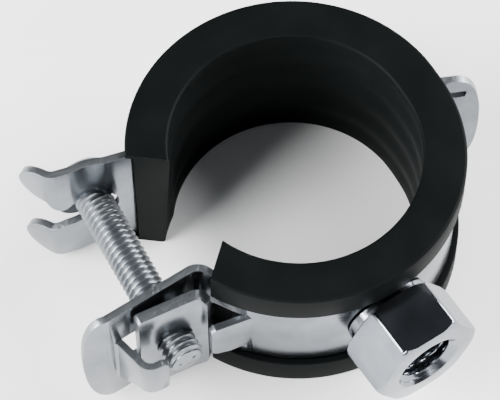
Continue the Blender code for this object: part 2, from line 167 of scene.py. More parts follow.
# %% [markdown]
# ## Zinc-plated strip
# The half rings are cold-rolled steel strip, pressed to shape and then electroplated with bright
# zinc. Zinc gives a cool, light grey metal. The rolls leave very fine lines along the strip, and
# the press and the plating bath leave soft patches, some duller than others. The nut and the
# screw get the same plate on turned steel, so one function makes all three. The lines are drawn a
# little coarser than real ones, which would be too fine to show.

# %% Bright zinc plate
LINE_LENGTH = 12
LINE_SQUEEZE = 14
PATCH_MM = 5.0
GRAIN_MM = 0.35


def plated_metal(name, colours, roughness, line_mm, depth_mm):
    mat, tree, shader, place = blank_material(name)
    shader.inputs["Metallic"].default_value = 1.0
    squeezed = add(tree, "ShaderNodeMapping", {"Scale": (1, 1, LINE_SQUEEZE), "Vector": place})
    lines = add(tree, "ShaderNodeTexNoise", {"Scale": per_mm(line_mm * LINE_LENGTH),
                "Detail": 3.0, "Vector": squeezed.outputs[0]}).outputs["Fac"]
    patches = add(tree, "ShaderNodeTexNoise", {"Scale": per_mm(PATCH_MM), "Detail": 4.0,
                  "Vector": place}).outputs["Fac"]
    grain = add(tree, "ShaderNodeTexNoise", {"Scale": per_mm(GRAIN_MM), "Detail": 2.0,
                "Vector": place}).outputs["Fac"]
    tint = add(tree, "ShaderNodeValToRGB", {"Fac": patches})
    set_ramp(tint, (0.32, colours[0]), (0.68, colours[1]))
    tree.links.new(tint.outputs["Color"], shader.inputs["Base Color"])
    both = add(tree, "ShaderNodeMath", {0: patches, 1: lines}, operation="ADD")
    rough = add(tree, "ShaderNodeMapRange", {"Value": both.outputs[0], "From Min": 0.6,
                "From Max": 1.4, "To Min": roughness[0], "To Max": roughness[1]})
    tree.links.new(rough.outputs[0], shader.inputs["Roughness"])
    fine = add(tree, "ShaderNodeBump", {"Strength": 0.25, "Distance": depth_mm * MM,
               "Height": lines})
    bump = add(tree, "ShaderNodeBump", {"Strength": 0.25, "Distance": depth_mm * MM,
               "Height": grain, "Normal": fine.outputs[0]})
    tree.links.new(bump.outputs[0], shader.inputs["Normal"])
    return mat


zinc_strip = plated_metal("bright_zinc_plated_strip", ("#6E7277", "#81858A"), (0.17, 0.28),
                          0.25, 0.006)
zinc_nut = plated_metal("bright_zinc_plated_nut", ("#6F7379", "#7F8389"), (0.12, 0.20),
                        0.30, 0.006)
zinc_screw = plated_metal("bright_zinc_plated_screw", ("#74787C", "#868A8E"), (0.32, 0.42),
                          0.20, 0.006)
print("zinc plate", [mat.name for mat in (zinc_strip, zinc_nut, zinc_screw)])

# %% [markdown]
# ## Cut edges
# The press tool cuts the strip through its thickness: a smooth burnished band, then a torn band.
# Under the plate it shows as short ridges across the edge, duller than the rolled faces. Before
# plating, the blanks are tumbled, which rounds and polishes their corners. The rounded faces also
# get a pale base colour: a painted highlight, a thin bright line drawn along every edge.

# %% Sheared edge, and tumbled corner with a painted highlight
RIDGE_MM = 0.5


def sheared_metal():
    mat, tree, shader, place = blank_material("zinc_plated_sheared_edge")
    shader.inputs["Metallic"].default_value = 1.0
    shader.inputs["Base Color"].default_value = linear("#767A7E")
    ridges = add(tree, "ShaderNodeTexNoise", {"Scale": per_mm(RIDGE_MM), "Detail": 4.0,
                 "Distortion": 0.6, "Vector": place}).outputs["Fac"]
    rough = add(tree, "ShaderNodeMapRange", {"Value": ridges, "To Min": 0.28, "To Max": 0.5})
    tree.links.new(rough.outputs[0], shader.inputs["Roughness"])
    bump = add(tree, "ShaderNodeBump", {"Strength": 0.8, "Distance": 0.12 * MM,
               "Height": ridges})
    tree.links.new(bump.outputs[0], shader.inputs["Normal"])
    return mat


def tumbled_metal_painted_highlight():
    mat, _, shader, _ = blank_material("zinc_plated_tumbled_corner_painted_highlight")
    shader.inputs["Metallic"].default_value = 1.0
    # Pale base colour is a painted highlight: it makes every rounded edge a bright line under any
    # lamp.
    shader.inputs["Base Color"].default_value = linear("#D4D8DC")
    shader.inputs["Roughness"].default_value = 0.42
    return mat


zinc_edge = sheared_metal()
zinc_corner_painted_highlight = tumbled_metal_painted_highlight()
print("edges", zinc_edge.name, zinc_corner_painted_highlight.name)

# %% [markdown]
# ## Extruded rubber
# The liner is EPDM, extruded as a long strip and matt black. The die leaves faint lines along it,
# and talc and handling leave a slightly lighter film in patches. Carbon black makes it absorb
# nearly all light, so the colour is close to black and the gloss is very low.

# %% Black EPDM
FILM_MM = 7.0
DIE_LINE_MM = 2.0
PORE_MM = 0.22
DIE_STRETCH = (0.15, 0.15, 4.0)


def rubber():
    mat, tree, shader, place = blank_material("black_epdm_rubber")
    shader.inputs["IOR"].default_value = 1.5
    shader.inputs["Specular IOR Level"].default_value = 0.03
    film = add(tree, "ShaderNodeTexNoise", {"Scale": per_mm(FILM_MM), "Detail": 5.0,
               "Vector": place}).outputs["Fac"]
    die = add(tree, "ShaderNodeMapping", {"Scale": DIE_STRETCH, "Vector": place})
    lines = add(tree, "ShaderNodeTexNoise", {"Scale": per_mm(DIE_LINE_MM), "Detail": 3.0,
                "Vector": die.outputs[0]}).outputs["Fac"]
    pores = add(tree, "ShaderNodeTexNoise", {"Scale": per_mm(PORE_MM), "Detail": 2.0,
                "Vector": place}).outputs["Fac"]
    tint = add(tree, "ShaderNodeValToRGB", {"Fac": film})
    set_ramp(tint, (0.35, "#070909"), (0.75, "#0A0C0C"))
    tree.links.new(tint.outputs["Color"], shader.inputs["Base Color"])
    rough = add(tree, "ShaderNodeMapRange", {"Value": film, "To Min": 0.42, "To Max": 0.60})
    tree.links.new(rough.outputs[0], shader.inputs["Roughness"])
    along = add(tree, "ShaderNodeBump", {"Strength": 0.2, "Distance": 0.05 * MM,
                "Height": lines})
    bump = add(tree, "ShaderNodeBump", {"Strength": 0.3, "Distance": 0.03 * MM,
               "Height": pores, "Normal": along.outputs[0]})
    tree.links.new(bump.outputs[0], shader.inputs["Normal"])
    return mat


epdm = rubber()
print("rubber", epdm.name)

# %% [markdown]
# ## From points to pieces
# Every piece is drawn in plan millimetres and ends as one mesh in the frame's metres, with its
# object at the origin. Two tools of the workshop are needed again and again: cutting or joining
# one shape with another, and rounding the sharp corners, because no real edge is perfectly sharp
# and it is the rounding that catches the light.

# %% Making, cutting and rounding a mesh
CORNER_ANGLE = 30
SHARP_ANGLE = 40


def put_in_scene(name, mesh, materials):
    obj = bpy.data.objects.new(name, mesh)
    bpy.context.scene.collection.objects.link(obj)
    for mat in materials:
        obj.data.materials.append(mat)
    return obj


def make_piece(name, verts, faces, materials):
    """A mesh object whose points are plan millimetres, placed in the frame."""
    mesh = bpy.data.meshes.new(name)
    mesh.from_pydata([ORIGIN + Vector(v) * MM for v in verts], [], faces)
    bm = bmesh.new()
    bm.from_mesh(mesh)
    bmesh.ops.remove_doubles(bm, verts=bm.verts, dist=1e-6)
    bmesh.ops.recalc_face_normals(bm, faces=bm.faces)
    bm.to_mesh(mesh)
    bm.free()
    return put_in_scene(name, mesh, materials)


def bake_modifiers(obj):
    """Replace the object's mesh by what its modifiers make of it."""
    graph = bpy.context.evaluated_depsgraph_get()
    mesh = bpy.data.meshes.new_from_object(obj.evaluated_get(graph))
    obj.modifiers.clear()
    obj.data = mesh
    return obj


def boolean(obj, tool, operation="DIFFERENCE"):
    """Cut the tool out of the object, or join the two. The tool is used up."""
    step = obj.modifiers.new(operation.lower(), "BOOLEAN")
    step.operation = operation
    step.object = tool
    step.solver = "EXACT"
    bake_modifiers(obj)
    bpy.data.objects.remove(tool)
    return obj


def smooth(obj, sharp_angle):
    obj.data.shade_smooth()
    obj.data.set_sharp_from_angle(angle=radians(sharp_angle))


def soften_edges(obj, width_mm, segments=2):
    """Round the corners of a piece. A sheet's new faces get the tumbled finish with its painted
    highlight.
    """
    bevel = obj.modifiers.new("soft_edges", "BEVEL")
    bevel.width = width_mm * MM
    bevel.segments = segments
    bevel.limit_method = "ANGLE"
    bevel.angle_limit = radians(CORNER_ANGLE)
    # The bevel's faces take the pale corner material: a painted highlight along each edge.
    bevel.material = obj.data.materials.find(zinc_corner_painted_highlight.name)
    bake_modifiers(obj)
    smooth(obj, SHARP_ANGLE)
    return obj


print("corners over", CORNER_ANGLE, "degrees are rounded")

# %% [markdown]
# ## Folding sheet metal
# Each half ring is one blank: an outline cut from flat strip, with its windows and slots, and then
# folded along a line in plan. The drawing is the same on the bench: a path of straight runs and
# bends, and an outline measured along that path. Cutting flat and folding afterwards keeps the
# thickness true everywhere, also round the bends.

# %% The path that a strip is folded along
SHEET = 1.2
CREASE_TURN = 7.5
CREASE_TURN_ON_RING = 2.5


class Path:
    """Middle line of a strip in plan: straight runs and bends, walked from one end."""

    def __init__(self, start, heading):
        self.runs = []
        self.length = 0.0
        self.point = Vector(start)
        self.heading = heading

    def line(self, length):
        self.runs.append((self.length, length, self.point.copy(), self.heading, 0.0))
        self.point = self.point + unit(self.heading) * length
        self.length += length

    def bend(self, radius, angle):
        """Turn left by a positive angle, right by a negative one."""
        length = radius * radians(abs(angle))
        self.runs.append((self.length, length, self.point.copy(), self.heading, angle / length))
        side = 90 if angle > 0 else -90
        centre = self.point + unit(self.heading + side) * radius
        self.heading += angle
        self.point = centre - unit(self.heading + side) * radius
        self.length += length

    def at(self, s):
        """Point and left-hand normal at distance s."""
        for begin, length, point, heading, turn in self.runs:
            if s <= begin + length + 1e-6:
                break
        along = s - begin
        if turn == 0.0:
            return point + unit(heading) * along, unit(heading + 90)
        side = 90 if turn > 0 else -90
        radius = degrees(1 / abs(turn))
        now = heading + turn * along
        centre = point + unit(heading + side) * radius
        return centre - unit(now + side) * radius, unit(now + 90)

    def stations(self):
        """Where the blank is creased, close enough for smooth bends."""
        marks = []
        for begin, length, _, _, turn in self.runs:
            step = CREASE_TURN_ON_RING if length > 20 else CREASE_TURN
            count = max(1, round(abs(turn) * length / step))
            marks += [begin + length * i / count for i in range(1, count + 1)]
        return [m for m in marks if 0.02 < m < self.length - 0.02]


corner_path = Path((0, 0), 0.0)
corner_path.bend(2.0, 90.0)
print("a square bend of 2 mm takes", round(corner_path.length, 3), "mm of strip")

# %% [markdown]
# ## Cutting the blank
# The outline, its holes and the crease lines are joined into triangles by a constrained Delaunay
# triangulation, which is made for this: no triangle crosses a line of the drawing. Triangles
# outside the outline or in a hole are the scrap. The rest is laid on both sides of the path, and
# walls close the cut edges.

# %% Cutting a blank and folding it
def is_inside(point, loop):
    crossings = 0
    for (x0, y0), (x1, y1) in zip(loop, loop[1:] + loop[:1]):
        if (y0 > point.y) != (y1 > point.y):
            crossings += x0 + (point.y - y0) * (x1 - x0) / (y1 - y0) > point.x
    return crossings % 2 == 1


def in_blank(corners, outline, holes):
    middle = sum(corners, Vector((0, 0))) / 3
    return is_inside(middle, outline) and not any(is_inside(middle, hole) for hole in holes)


def cut_blank(outline, holes, creases):
    """Points and triangles of the flat blank; each crease runs across it at one distance."""
    points, edges = [], []
    for loop in [outline, *holes]:
        first = len(points)
        points += [Vector(p) for p in loop]
        edges += [(first + i, first + (i + 1) % len(loop)) for i in range(len(loop))]
    reach = max(abs(p[1]) for p in outline) + 1
    for s in creases:
        edges.append((len(points), len(points) + 1))
        points += [Vector((s, -reach)), Vector((s, reach))]
    flat, _, triangles, *_ = delaunay_2d_cdt(points, edges, [], 0, 1e-5)
    return flat, [t for t in triangles if in_blank([flat[i] for i in t], outline, holes)]


def cut_edges(triangles):
    """Directed edges that only one triangle has: the rim of the blank."""
    rim = {}
    for tri in triangles:
        for a, b in zip(tri, tri[1:] + tri[:1]):
            rim.setdefault(frozenset((a, b)), []).append((a, b))
    return [edges[0] for edges in rim.values() if len(edges) == 1]


def fold_sheet(name, path, outline, holes=(), thickness=SHEET, push=None, extra_marks=()):
    """Fold a flat blank along its path. push(s, z) presses the sheet off its middle line."""
    flat, triangles = cut_blank(outline, holes, [*path.stations(), *extra_marks])
    verts = []
    for side in (-0.5, 0.5):
        for s, z in flat:
            point, normal = path.at(min(max(s, 0), path.length))
            place = point + normal * (side * thickness + (push(s, z) if push else 0))
            verts.append((place.x, place.y, z))
    count = len(flat)
    faces = [list(t) for t in triangles]
    faces += [[i + count for i in reversed(t)] for t in triangles]
    wall_from = len(faces)
    faces += [[b, a, a + count, b + count] for a, b in cut_edges(triangles)]
    mesh = bpy.data.meshes.new(name)
    mesh.from_pydata([ORIGIN + Vector(v) * MM for v in verts], [], faces)
    for face in mesh.polygons[wall_from:]:
        face.material_index = 1
    bm = bmesh.new()
    bm.from_mesh(mesh)
    bmesh.ops.delete(bm, geom=[v for v in bm.verts if not v.link_faces], context="VERTS")
    bmesh.ops.recalc_face_normals(bm, faces=bm.faces)
    bmesh.ops.dissolve_limit(bm, angle_limit=radians(0.3), verts=bm.verts, edges=bm.edges,
                             delimit={"MATERIAL"})
    bm.to_mesh(mesh)
    bm.free()
    return put_in_scene(name, mesh, (zinc_strip, zinc_edge, zinc_corner_painted_highlight))


square = [(0.0, -2.0), (4.0, -2.0), (4.0, 2.0), (0.0, 2.0)]
print("a square with one crease is", len(cut_blank(square, [], [2.0])[1]), "triangles")


# %% [markdown]
# ## Rounded ends and windows
# A punch has rounded corners, because a sharp one would crack the strip when it is folded. Two
# outlines come back on every part of the clamp: the full round end of an ear, and a slot.

# %% Rounded outlines
OVAL_FULLNESS = 0.85
SLOT_CORNER = 0.45


def half_oval(s_corner, s_end, half, steps=24):
    """Rounded end of the strip, a little fuller than an ellipse."""
    turn = [pi / 2 - pi * i / steps for i in range(steps + 1)]

    def full(c):
        return (1 if c > 0 else -1) * abs(c) ** OVAL_FULLNESS

    return [(s_corner + (s_end - s_corner) * full(max(cos(t), 0)), half * full(sin(t)))
            for t in turn]


def round_slot(s0, s1, half, steps=8):
    r = half * SLOT_CORNER
    corners = ((s1 - r, half - r, 0), (s0 + r, half - r, 90))
    corners += ((s0 + r, r - half, 180), (s1 - r, r - half, 270))
    loop = []
    for s, z, start in corners:
        turn = [radians(start + 90 * i / steps) for i in range(steps + 1)]
        loop += [(s + r * cos(t), z + r * sin(t)) for t in turn]
    return loop


print("points on a rounded end", len(half_oval(4.0, 0.0, 12.0)))

# %% [markdown]
# ## Front half ring
# From the rounded ear it runs in along the flange, bends sharply onto the ring, goes round under
# the nut and ends in a narrow tongue that hooks through the rear half's window. Two tongues lanced
# out of it, one from the flange and one from the ring, keep the nut plate in place.

# %% Path of the front half ring
RING_R = 23.9
HALF_WIDTH = 12.3
FLANGE_OFFSET = 7.1
FLANGE_BEND = 2.5
FLANGE_FOLD_X = -39.2
EAR_LENGTH = 4.05
EAR_TILT = 17.0
FOLD_BEND = 2.0
WINDOW_HALF = 4.3


def front_path():
    start = Vector((FLANGE_FOLD_X, -FLANGE_OFFSET)) - unit(-EAR_TILT) * EAR_LENGTH
    path = Path(start, -EAR_TILT)
    path.line(EAR_LENGTH - FOLD_BEND * tan(radians(EAR_TILT / 2)))
    path.bend(FOLD_BEND, EAR_TILT)
    reach = RING_R + FLANGE_BEND
    path.flange = (path.length, path.point.x)
    path.line(-sqrt(reach ** 2 - (FLANGE_OFFSET + FLANGE_BEND) ** 2) - path.point.x)
    path.bend(FLANGE_BEND, -degrees(acos((FLANGE_OFFSET + FLANGE_BEND) / reach)))
    path.ring = (path.length, degrees(atan2(path.point.y, path.point.x)))
    path.bend(RING_R, -11.0 - path.ring[1])
    path.neck = path.length
    path.bend(5.0, -20.0)
    path.line(2.2)
    path.bend(1.2, -58.0)
    path.line(1.9)
    return path


print("flat length of the front strip", round(front_path().length, 1), "mm")

# %% [markdown]
# ## Hooks
# Both hooks are lanced: cut on three sides and pushed out of the sheet, so they cost no material
# and leave a window behind. A hook is a short folded strip of its own, joined to the ring where
# its root is. It is a little thinner than the strip, so that no two faces lie in one plane.

# %% The two lanced hooks
HOOK_SHEET = 1.12


def outer_hook():
    """Leaves the flange, turns down past the nut plate's end and in again under it."""
    path = Path((-39.6, -FLANGE_OFFSET), 0.0)
    path.line(1.0)
    path.bend(1.2, -80.4)
    leg = path.length
    path.line(4.5)
    elbow = path.length
    path.bend(1.8, 72.4)
    path.line(1.9)
    end = path.length
    outline = [(0.0, 4.1), (0.0, -7.4), (leg, -7.2), (leg + 1.2, -6.4), (elbow - 1.0, -4.4)]
    outline += [(elbow, -3.95), (end - 0.6, -3.9), (end, -3.3), (end, 3.3), (end - 0.6, 3.9)]
    outline += [(elbow, 4.0)]
    return fold_sheet("outer_hook", path, outline, thickness=HOOK_SHEET)


def inner_hook():
    """Leaves the ring at the window's lower edge and reaches out over the nut plate's end."""
    path = Path(around((0, 0), RING_R, -138.5), 131.5)
    path.bend(RING_R, -1.5)
    path.bend(1.2, 37.4)
    root = path.length
    path.line(6.3)
    end = path.length
    outline = [(0.0, 4.0), (0.0, -4.0), (root, -4.0), (root + 3.4, -4.4), (end - 0.8, -3.9)]
    outline += [(end, -3.2), (end, 3.3), (end - 0.7, 3.9), (root, 4.0)]
    return fold_sheet("inner_hook", path, outline, thickness=HOOK_SHEET)


print("hooks of", HOOK_SHEET, "mm")

# %% [markdown]
# ## The whole front half
# The blank has a full round ear at one end and a narrow tongue at the other. Its two windows are
# where the hooks were. The hooks are joined on after folding, and then all corners are rounded
# together, so that the rounding also runs round the root of each hook.

# %% Front half ring
TONGUE_HALF = 7.8
TONGUE_CORNER = 0.8
CORNER_RADIUS = 0.18


def front_half_ring():
    path = front_path()

    def to_flange(x):
        return path.flange[0] + x - path.flange[1]

    def to_ring(angle):
        return path.ring[0] + RING_R * radians(angle - path.ring[1])

    neck, end, tongue, cut = path.neck - 0.6, path.length, TONGUE_HALF, TONGUE_CORNER
    outline = [(end, tongue - cut), (end - cut, tongue), (neck + cut, tongue)]
    outline += [(neck, tongue + cut), (neck, HALF_WIDTH)]
    outline += half_oval(EAR_LENGTH, 0.0, HALF_WIDTH)
    outline += [(neck, -HALF_WIDTH), (neck, -tongue - cut), (neck + cut, -tongue)]
    outline += [(end - cut, -tongue), (end, cut - tongue)]
    window = round_slot(to_ring(-158.0), to_ring(-140.5), WINDOW_HALF)
    slot = round_slot(to_flange(-38.4), to_flange(-25.4), WINDOW_HALF)
    band = fold_sheet("front_half_ring", path, outline, [window, slot])
    boolean(band, outer_hook(), "UNION")
    boolean(band, inner_hook(), "UNION")
    return soften_edges(band, CORNER_RADIUS, 3)


front_ring = front_half_ring()
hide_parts("front_band")
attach(front_ring, "front_half")
print("front half ring", len(front_ring.data.polygons), "faces")

# %% [markdown]
# ## Rear half ring
# Its outer end is a fork: the screw swings into the slot and its head bears on a shallow
# seat pressed into the sheet. A snap nose on the upper tine keeps the screw in. The other end
# flares out into an ear whose window takes the front half's tongue.

# %% Path of the rear half ring
FORK_DIRECTION = 164.4
FORK_OFFSET = 6.53
FORK_ROOT_BEND = 1.2
FORK_BEND_AT = 36.5
FORK_TIP_BEND = 2.0
TINE_TURN = 47.0
TINE_LENGTH = 5.3
EAR_DIRECTION = -26.0
EAR_OFFSET = 8.2
EAR_BEND = 1.5
EAR_TIP_AT = 30.7


def rear_path():
    corner = REAR + unit(FORK_DIRECTION) * FORK_BEND_AT + unit(FORK_DIRECTION - 90) * FORK_OFFSET
    tip_heading = FORK_DIRECTION - TINE_TURN - 180
    setback = FORK_TIP_BEND * tan(radians(TINE_TURN / 2))
    path = Path(corner - unit(tip_heading) * TINE_LENGTH, tip_heading)
    path.line(TINE_LENGTH - setback)
    path.bend(FORK_TIP_BEND, TINE_TURN)
    path.fork = (path.length, FORK_BEND_AT - setback)
    reach = RING_R + FORK_ROOT_BEND
    path.line(path.fork[1] - sqrt(reach ** 2 - (FORK_OFFSET + FORK_ROOT_BEND) ** 2))
    path.bend(FORK_ROOT_BEND, degrees(acos((FORK_OFFSET + FORK_ROOT_BEND) / reach)))
    offset = path.point - REAR
    path.ring = (path.length, degrees(atan2(offset.y, offset.x)))
    reach = RING_R + EAR_BEND
    ring_to = EAR_DIRECTION + degrees(asin((EAR_OFFSET + EAR_BEND) / reach))
    path.bend(RING_R, ring_to - path.ring[1])
    path.bend(EAR_BEND, EAR_DIRECTION - (ring_to - 90))
    path.ear = (path.length, sqrt(reach ** 2 - (EAR_OFFSET + EAR_BEND) ** 2))
    path.line(EAR_TIP_AT - path.ear[1])
    return path


print("flat length of the rear strip", round(rear_path().length, 1), "mm")

# %% [markdown]
# ## Fork, seat and hinge window
# The slot of the fork ends in a half circle that fits the screw. The seat is a shallow trough
# pressed across both sides of the slot, done while folding by pushing the sheet off its path. The
# ear's window is wider at its outer end, which leaves a slit beside each edge of the tongue.

# %% Rear half ring
SLOT_HALF = 3.4
SEAT_AT = 29.55
SEAT_MIDDLE = 30.6
SEAT_DEPTH = 0.4
SEAT_WIDTH = 6.4
SEAT_CREASES = 16
SLIT_HIGH, SLIT_LOW = 9.3, 7.6


def tine_tip(z_mid, half, s_corner, steps=16):
    """Rounded tip of one tine of the fork."""
    turn = [pi / 2 - pi * i / steps for i in range(steps + 1)]
    return [(s_corner * (1 - cos(t)), z_mid + half * sin(t)) for t in turn]


def rear_half_ring():
    path = rear_path()

    def to_fork(distance):
        return path.fork[0] + path.fork[1] - distance

    def to_ring(angle):
        return path.ring[0] + RING_R * radians(path.ring[1] - angle)

    def to_ear(distance):
        return path.ear[0] + distance - path.ear[1]

    seat_s = to_fork(SEAT_AT)
    seat = [(seat_s + SLOT_HALF * cos(t), SLOT_HALF * sin(t))
            for t in (radians(90 - 7.5 * i) for i in range(25))]
    nose = [(to_fork(35.0 + d), SLOT_HALF - drop) for d, drop in
            ((2.2, -0.9), (1.7, 0.3), (1.2, 1.1), (0.6, 1.7), (0.0, 1.9), (-0.6, 1.7),
             (-1.3, 1.0), (-2.0, 0.2), (-2.6, 0.0))]
    floor = [(to_fork(33.0), -SLOT_HALF), (to_fork(34.6), -SLOT_HALF - 0.15),
             (to_fork(36.3), -SLOT_HALF - 0.6)]
    tine_mid = (HALF_WIDTH + SLOT_HALF + 0.9) / 2
    tine_half = HALF_WIDTH - tine_mid
    outline = tine_tip(tine_mid, tine_half, TINE_LENGTH - 0.6) + nose + seat + floor
    outline += tine_tip(-tine_mid, tine_half, TINE_LENGTH - 0.6)
    outline += reversed(half_oval(to_ear(26.4), to_ear(EAR_TIP_AT), HALF_WIDTH))
    window = [(to_ring(2.0), SLIT_HIGH), (to_ear(28.0), SLIT_HIGH)]
    window += [(to_ear(28.3), SLIT_HIGH - 0.4), (to_ear(28.0), SLIT_LOW)]
    window += [(to_ear(25.7), SLIT_LOW)]
    window += [(s, -z) for s, z in reversed(window)]

    def press_seat(s, z):
        """A shallow trough across the fork, pressed away from the jaw."""
        x = (s - to_fork(SEAT_MIDDLE)) / (SEAT_WIDTH / 2)
        return SEAT_DEPTH * (0.5 + 0.5 * cos(pi * x)) if abs(x) < 1 else 0.0

    marks = [to_fork(SEAT_MIDDLE) + SEAT_WIDTH * (i / SEAT_CREASES - 0.5)
             for i in range(SEAT_CREASES + 1)]
    band = fold_sheet("rear_half_ring", path, outline, [window], push=press_seat,
                      extra_marks=marks)
    return soften_edges(band, CORNER_RADIUS, 3)


rear_ring = rear_half_ring()
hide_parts("rear_band")
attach(rear_ring, "rear_half")
print("rear half ring", len(rear_ring.data.polygons), "faces")

# %% [markdown]
# ## Threads by Geometry Nodes
# A thread is a rule: the radius at a point follows how far the point is along the helix. A tall
# fine cylinder is pressed into that shape by one Set Position node, so pitch, size and length
# stay named inputs. The same tree makes the screw and the taps that cut the inner threads. The
# rule is written as a list of sums, one Math node each, and the last one is what it presses by.

# %% The rule of a thread
FLAT_CREST = 0.05
FLANK = 0.36
THREAD_RULE = [
    ("half length", "MULTIPLY", "Length", 0.5),
    ("height", "ADD", "Z", "half length"),
    ("direction", "ARCTAN2", "Y", "X"),
    ("part of a turn", "DIVIDE", "direction", 2 * pi),
    ("pitches up", "DIVIDE", "height", "Pitch"),
    ("turns", "SUBTRACT", "pitches up", "part of a turn"),
    ("along the pitch", "FRACT", "turns", 0.0),
    ("off the middle", "SUBTRACT", "along the pitch", 0.5),
    ("wave", "ABSOLUTE", "off the middle", 0.0),
    ("past the crest", "SUBTRACT", "wave", FLAT_CREST),
    ("down the flank", "MAXIMUM", "past the crest", 0.0),
    ("to the root", "MINIMUM", "down the flank", FLANK),
    ("share of depth", "MULTIPLY", "to the root", 1 / FLANK),
    ("cut", "MULTIPLY", "share of depth", "Depth"),
    ("thread radius", "SUBTRACT", "Radius", "cut"),
    ("tip radius", "SUBTRACT", "Radius", "Chamfer"),
    ("cone radius", "ADD", "tip radius", "height"),
    ("slim radius", "MINIMUM", "thread radius", "cone radius"),
    ("spread", "DIVIDE", "slim radius", "Radius"),
]


def thread_tree():
    tree = bpy.data.node_groups.new("thread_by_rule", "GeometryNodeTree")
    face = tree.interface
    for name, default in (("Length", 20.0), ("Radius", 3.0), ("Pitch", 1.0), ("Depth", 0.6),
                          ("Chamfer", 0.6)):
        socket = face.new_socket(name, in_out="INPUT", socket_type="NodeSocketFloat")
        socket.default_value = default
    face.new_socket("Steps", in_out="INPUT", socket_type="NodeSocketInt")
    face.new_socket("Material", in_out="INPUT", socket_type="NodeSocketMaterial")
    face.new_socket("Geometry", in_out="OUTPUT", socket_type="NodeSocketGeometry")
    given = add(tree, "NodeGroupInput").outputs
    rod = add(tree, "GeometryNodeMeshCylinder", {"Vertices": 48, "Fill Segments": 1,
              "Side Segments": given["Steps"], "Radius": given["Radius"],
              "Depth": given["Length"]})
    position = add(tree, "GeometryNodeInputPosition").outputs[0]
    place = add(tree, "ShaderNodeSeparateXYZ", {0: position}).outputs
    known = {socket.name: socket for socket in (*given, *place)}
    for name, operation, a, b in THREAD_RULE:
        terms = {0: known.get(a, a), 1: known.get(b, b)}
        known[name] = add(tree, "ShaderNodeMath", terms, operation=operation).outputs[0]
    spread = add(tree, "ShaderNodeCombineXYZ", {"X": known["spread"], "Y": known["spread"],
                 "Z": 1.0})
    moved = add(tree, "ShaderNodeVectorMath", {0: position, 1: spread.outputs[0]},
                operation="MULTIPLY")
    pressed = add(tree, "GeometryNodeSetPosition", {"Geometry": rod.outputs["Mesh"],
                  "Position": moved.outputs[0]})
    real = add(tree, "GeometryNodeRealizeInstances", {0: pressed.outputs[0]})
    coat = add(tree, "GeometryNodeSetMaterial", {"Geometry": real.outputs[0],
               "Material": given["Material"]})
    add(tree, "NodeGroupOutput", {"Geometry": coat.outputs[0]})
    return tree


THREAD = thread_tree()
print("thread tree has", len(THREAD.nodes), "nodes")

# %% [markdown]
# ## Winding a rod
# The modifier gets its sizes by the socket's identifier, before it is first worked out. Its
# result is turned into a plain mesh, laid along the screw's axis and put into the frame.

# %% A threaded rod as a mesh
STEPS_PER_PITCH = 12


def threaded_rod(name, start, axis, length, radius, pitch, depth, chamfer, mat=None):
    """A threaded rod from a point (mm) along an axis, as a plain mesh in the frame."""
    mesh = bpy.data.meshes.new(name)
    obj = bpy.data.objects.new(name, mesh)
    bpy.context.scene.collection.objects.link(obj)
    tree = obj.modifiers.new("thread", "NODES")
    tree.node_group = THREAD
    sizes = {"Length": length, "Radius": radius, "Pitch": pitch, "Depth": depth,
             "Chamfer": chamfer, "Steps": round(length / pitch * STEPS_PER_PITCH),
             "Material": mat}
    for item in THREAD.interface.items_tree:
        if item.in_out == "INPUT":
            tree[item.identifier] = sizes[item.name]
    bake_modifiers(obj)
    turn = Vector(axis).to_track_quat("Z", "Y").to_matrix().to_4x4()
    lift = Matrix.Translation((0, 0, length / 2))
    obj.data.transform(turn @ lift)
    obj.data.transform(Matrix.Translation(Vector(start)))
    obj.data.transform(Matrix.Translation(ORIGIN) @ Matrix.Scale(MM, 4))
    obj.data.shade_smooth()
    return obj


print("threads are drawn in", STEPS_PER_PITCH, "steps to the pitch")

# %% [markdown]
# ## Nut plate
# A thick plate, threaded for the screw and held loosely by the two hooks. Its inner end is
# rolled a little, so that it rocks in the bend of the flange. It is folded like the rings and
# then tapped: a threaded rod cuts its own shape out of the plate.

# %% Nut plate
PLATE_TILT = -8.0
PLATE_THICKNESS = 1.7
PLATE_HALF = 11.0
PLATE_CORNER = 2.4


def threaded_plate():
    across = unit(PLATE_TILT + 90)
    path = Path(PLATE_PIVOT - across * PLATE_THICKNESS / 2, PLATE_TILT)
    path.line(9.0)
    path.bend(2.6, -42.0)
    path.line(0.7)
    end, half, r = path.length, PLATE_HALF, PLATE_CORNER
    turn = [radians(90 * i / 8) for i in range(9)]
    outline = [(0.0, half - 0.4), (0.4, half)]
    outline += [(end - r + r * sin(t), half - r + r * cos(t)) for t in turn]
    outline += [(s, -z) for s, z in reversed(outline)]
    plate = fold_sheet("threaded_plate", path, outline, thickness=PLATE_THICKNESS)
    start = SCREW_THROUGH - SCREW_AXIS * 4
    tap = threaded_rod("tap_m6", start, SCREW_AXIS, 8.0, 3.12, pitch=1.0, depth=0.55,
                       chamfer=0.0, mat=zinc_edge)
    boolean(plate, tap)
    return soften_edges(plate, 0.22, 3)


plate = threaded_plate()
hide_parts("nut_plate")
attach(plate, "nut_plate")
print("nut plate", len(plate.data.polygons), "faces")

# %% [markdown]
# ## Turned shapes
# The screw's head, the washer, the nut's collar and its chamfers are all turned on a lathe. On
# the real parts a tool follows a profile while the bar spins, and the mesh is made the same way:
# a closed profile of distances and radii is carried once round the axis.

# %% Turning a profile
def turned(name, base, axis, profile, mats, segments=64):
    """Solid of revolution from a closed profile of (distance along the axis, radius)."""
    along = Vector(axis).normalized()
    side = along.orthogonal().normalized()
    up = along.cross(side)
    verts = []
    for distance, radius in profile:
        centre = Vector(base) + along * distance
        for i in range(segments):
            t = 2 * pi * i / segments
            verts.append(centre + (side * cos(t) + up * sin(t)) * radius)
    count = len(profile)
    faces = []
    for p in range(count):
        q = (p + 1) % count
        for i in range(segments):
            j = (i + 1) % segments
            faces.append([p * segments + i, p * segments + j, q * segments + j, q * segments + i])
    return make_piece(name, verts, faces, mats)


print("turned shapes have 64 sides unless they ask for more")

